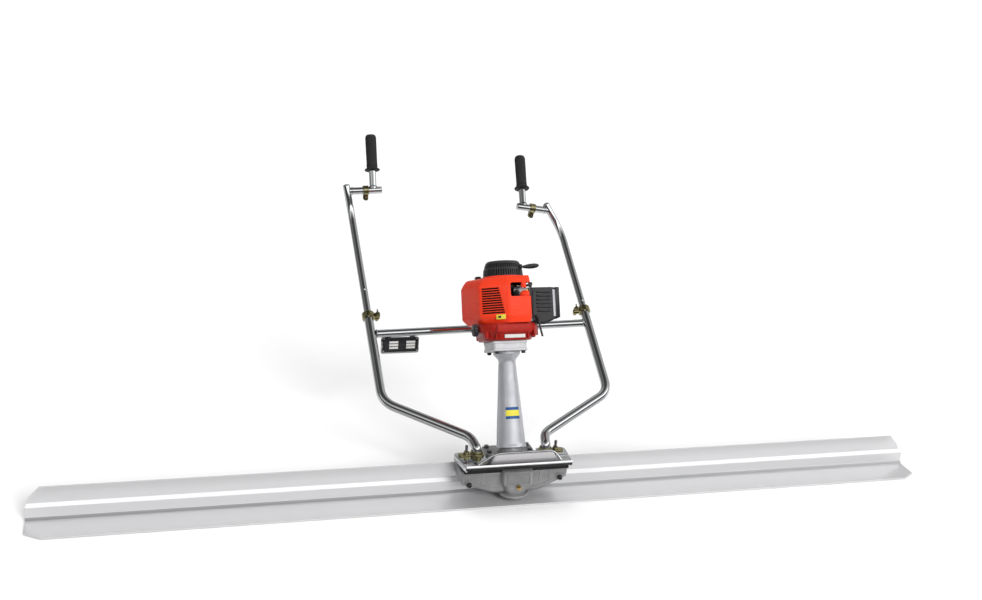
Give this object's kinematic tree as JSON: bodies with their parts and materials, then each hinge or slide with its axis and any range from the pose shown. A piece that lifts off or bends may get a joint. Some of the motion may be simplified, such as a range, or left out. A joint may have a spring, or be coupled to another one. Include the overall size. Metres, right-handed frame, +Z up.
{
  "type": "power screed",
  "caption": "Vibratory concrete screed: a petrol engine on a leaning column drives an eccentric that shakes a long flat aluminium board, steered by a bent tube handle with rubber grips.",
  "frame": {"origin": "on the board's sole, under the front face of its wall, at mid-length", "axes": "+X along the board, +Y towards the operator, +Z up"},
  "size_m": [2.5, 0.9569, 0.822],
  "materials": {
    "board_aluminium": "mill finish, fine lengthwise grain",
    "cast_aluminium": "sand cast, satin",
    "chrome_tube": "polished chrome plate",
    "zinc": "yellow zinc plated",
    "steel": "machined steel",
    "rubber": "moulded black rubber",
    "shroud_red": "semi-gloss moulded plastic",
    "housing_red": "painted casting",
    "black_plastic": "textured moulded plastic",
    "brass": "plain brass",
    "plate_black": "black printed plate, blank fields"
  },
  "bodies": {
    "base": {"screed_board": "board_aluminium", "exciter_housing": "cast_aluminium", "column": "cast_aluminium", "column_foot_flange": "cast_aluminium", "engine_flange": "cast_aluminium", "carburettor": "cast_aluminium", "cylinder": "cast_aluminium", "handle_plate": "chrome_tube", "crossbar": "chrome_tube", "data_plate_bracket": "chrome_tube", "lower_tube_left": "chrome_tube", "lower_tube_right": "chrome_tube", "tube_clamp_left": "zinc", "tube_clamp_right": "zinc", "tube_clamp_bolt_left": "zinc", "tube_clamp_bolt_right": "zinc", "foot_clamp_left": "zinc", "foot_clamp_right": "zinc", "bearing_lower": "steel", "bearing_upper": "steel", "board_bracket_left": "steel", "board_bracket_right": "steel", "mounting_bolt_left": "steel", "mounting_bolt_right": "steel", "foot_stud_left": "steel", "foot_stud_right": "steel", "rubber_mount_front_left": "rubber", "rubber_mount_front_right": "rubber", "rubber_mount_rear_left": "rubber", "rubber_mount_rear_right": "rubber", "shroud": "shroud_red", "fan_housing": "housing_red", "air_cleaner_cover": "black_plastic", "spark_plug_cap": "black_plastic", "recoil_cover": "black_plastic", "grease_plug": "brass", "data_plate": "plate_black"},
    "drive": {"drive_shaft": "steel", "eccentric_weight": "steel", "clutch_drum": "steel"},
    "crank": {"crankshaft": "steel"},
    "pulley": {"recoil_pulley": "black_plastic"},
    "pull": {"pull_handle": "black_plastic"},
    "throttle": {"throttle_lever": "black_plastic"},
    "choke": {"choke_lever": "black_plastic"},
    "primer": {"primer_bulb": "rubber"},
    "stop": {"stop_button": "black_plastic"},
    "fuel_cap": {"fuel_cap": "black_plastic"},
    "bush_left": {"telescope_bush_left": "black_plastic"},
    "upper_left": {"upper_tube_left": "chrome_tube", "grip_clamp_left": "zinc", "grip_clamp_bolt_left": "zinc"},
    "arm_left": {"grip_arm_left": "chrome_tube", "grip_left": "rubber"},
    "bush_right": {"telescope_bush_right": "black_plastic"},
    "upper_right": {"upper_tube_right": "chrome_tube", "grip_clamp_right": "zinc", "grip_clamp_bolt_right": "zinc"},
    "arm_right": {"grip_arm_right": "chrome_tube", "grip_right": "rubber"}
  },
  "joints": [
    {"name": "crank_spin", "type": "hinge", "parent": "base", "child": "crank", "pos_m": [0.012, 0.11602, 0.40606], "axis": [0, 0.4067, 0.9135], "continuous": true},
    {"name": "drive_spin", "type": "hinge", "parent": "base", "child": "drive", "pos_m": [0.012, -0.006, 0.132], "axis": [0, 0.4067, 0.9135], "continuous": true},
    {"name": "pull_slide", "type": "slide", "parent": "base", "child": "pull", "axis": [1, 0, 0], "range_m": [0, 0.04], "stiffness_N_per_m": 60, "springref_m": -0.02},
    {"name": "pulley_spin", "type": "hinge", "parent": "base", "child": "pulley", "pos_m": [0.012, 0.18639, 0.56411], "axis": [0, 0.4067, 0.9135], "range_deg": [0, 64]},
    {"name": "throttle_turn", "type": "hinge", "parent": "base", "child": "throttle", "pos_m": [0.042, 0.11267, 0.5608], "axis": [0, 0.4067, 0.9135], "range_deg": [-55, 0]},
    {"name": "choke_turn", "type": "hinge", "parent": "base", "child": "choke", "pos_m": [0.088, 0.07728, 0.48133], "axis": [0, 0.9135, -0.4067], "range_deg": [-60, 15]},
    {"name": "primer_press", "type": "slide", "parent": "base", "child": "primer", "axis": [0, 0.9135, -0.4067], "range_m": [0, 0.0025], "stiffness_N_per_m": 600, "springref_m": -0.001},
    {"name": "stop_press", "type": "slide", "parent": "base", "child": "stop", "axis": [0, -0.4067, -0.9135], "range_m": [0, 0.004], "stiffness_N_per_m": 600, "springref_m": -0.001},
    {"name": "fuel_cap_turn", "type": "hinge", "parent": "base", "child": "fuel_cap", "pos_m": [-0.078, 0.11035, 0.43267], "axis": [-1, 0, 0], "range_deg": [0, 180]},
    {"name": "telescope_left", "type": "slide", "parent": "base", "child": "bush_left", "axis": [0, 0.8453, 0.5344], "range_m": [-0.05, 0.06]},
    {"name": "twist_left", "type": "hinge", "parent": "bush_left", "child": "upper_left", "pos_m": [-0.319, 0.32105, 0.32187], "axis": [0, 0.8453, 0.5344], "range_deg": [-25, 25]},
    {"name": "grip_tilt_left", "type": "hinge", "parent": "upper_left", "child": "arm_left", "pos_m": [-0.25205, 0.75323, 0.66262], "axis": [0.9993, 0, 0.0374], "range_deg": [-35, 35]},
    {"name": "telescope_right", "type": "slide", "parent": "base", "child": "bush_right", "axis": [0, 0.8453, 0.5344], "range_m": [-0.05, 0.06]},
    {"name": "twist_right", "type": "hinge", "parent": "bush_right", "child": "upper_right", "pos_m": [0.343, 0.32105, 0.32187], "axis": [0, 0.8453, 0.5344], "range_deg": [-25, 25]},
    {"name": "grip_tilt_right", "type": "hinge", "parent": "upper_right", "child": "arm_right", "pos_m": [0.21637, 0.69195, 0.62271], "axis": [0.9897, 0, -0.1435], "range_deg": [-35, 35]}
  ],
  "couplings": [
    {"joint": "drive_spin", "follows": "crank_spin", "ratio": 1},
    {"joint": "pulley_spin", "follows": "pull_slide", "rad_per_m": 27.925}
  ]
}
